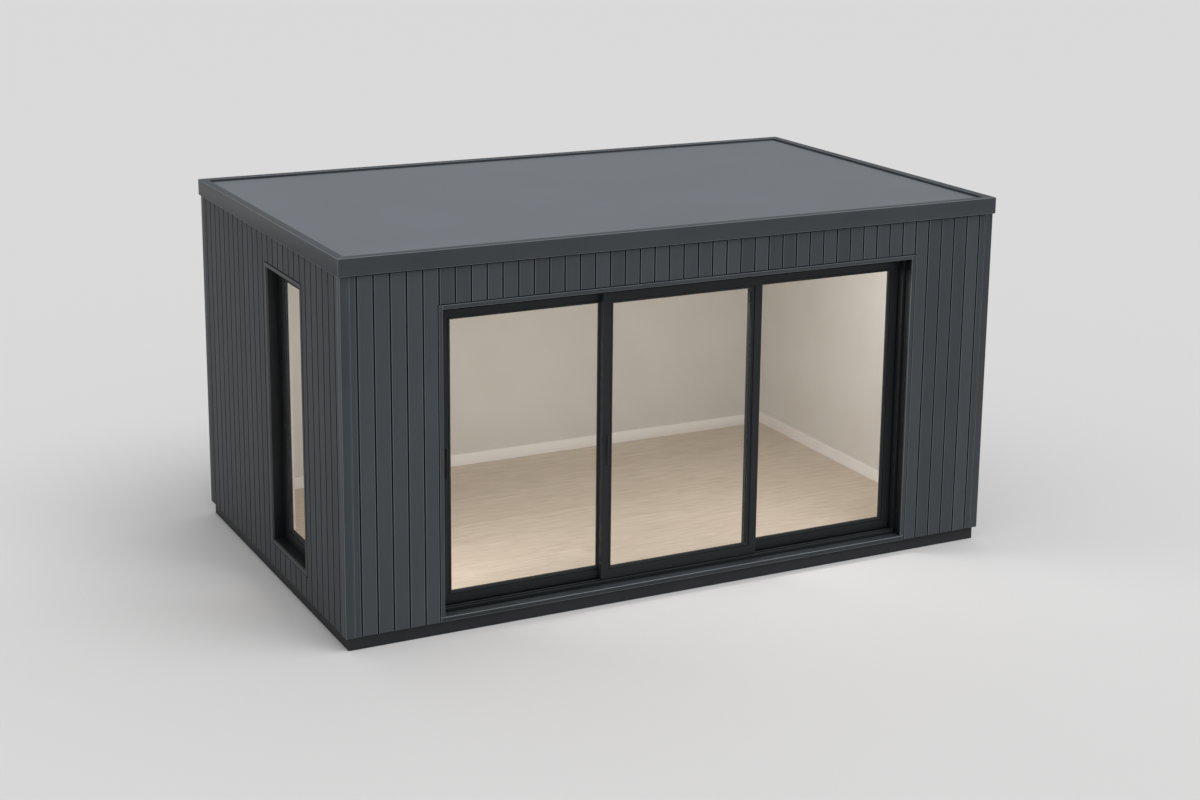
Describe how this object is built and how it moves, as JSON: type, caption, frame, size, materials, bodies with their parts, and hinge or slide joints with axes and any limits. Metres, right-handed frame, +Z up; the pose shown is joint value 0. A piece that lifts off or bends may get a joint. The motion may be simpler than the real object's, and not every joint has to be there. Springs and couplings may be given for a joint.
{
  "type": "garden office pod",
  "caption": "Flat-roofed garden room with vertical board cladding, a wide sliding glass door in front and a tall window in one end.",
  "frame": {"origin": "centre of the base, on the ground", "axes": "+X along the length, to the right seen from the door side; the door front faces -Y; +Z up"},
  "size_m": [4.816, 2.916, 2.5],
  "materials": {
    "plinth": "matt dark grey",
    "deck": "raw board",
    "oak": "pale oak planks, satin",
    "plaster": "painted plaster, matt",
    "cladding": "painted vertical boards, matt",
    "trim": "dark grey powder coat",
    "membrane": "grey roof membrane",
    "frame": "near-black powder coat",
    "glass": "clear",
    "pull": "black powder coat",
    "skirting": "painted, satin"
  },
  "bodies": {
    "pod": {"base_plinth": "plinth", "floor_deck": "deck", "floor_boards": "oak", "front_wall_left": "plaster", "front_wall_right": "plaster", "front_wall_head": "plaster", "left_wall": "plaster", "right_wall": "plaster", "back_wall": "plaster", "front_cladding_left": "cladding", "front_cladding_right": "cladding", "front_cladding_head": "cladding", "left_cladding": "cladding", "right_cladding": "cladding", "back_cladding": "cladding", "front_corner_trims": "trim", "back_corner_trims": "trim", "roof_deck": "deck", "roof_membrane": "membrane", "ceiling": "plaster", "front_fascia": "trim", "back_fascia": "trim", "left_fascia": "trim", "right_fascia": "trim", "door_sill": "trim", "door_sill_track": "frame", "door_head_track": "frame", "door_jambs": "frame", "door_surround_sides": "trim", "door_surround_head": "trim", "right_door_frame": "frame", "right_door_glass": "glass", "window_surround": "trim", "window_frame": "frame", "window_glass": "glass", "back_skirting": "skirting", "side_skirting": "skirting", "front_skirting": "skirting"},
    "left_door": {"left_door_frame": "frame", "left_door_glass": "glass", "left_door_handle": "pull"},
    "middle_door": {"middle_door_frame": "frame", "middle_door_glass": "glass", "middle_door_handle": "pull"}
  },
  "joints": [
    {"name": "left_door_slide", "type": "slide", "parent": "pod", "child": "left_door", "axis": [1, 0, 0], "range_m": [0, 1.043]},
    {"name": "middle_door_slide", "type": "slide", "parent": "pod", "child": "middle_door", "axis": [1, 0, 0], "range_m": [0, 1.116]}
  ]
}
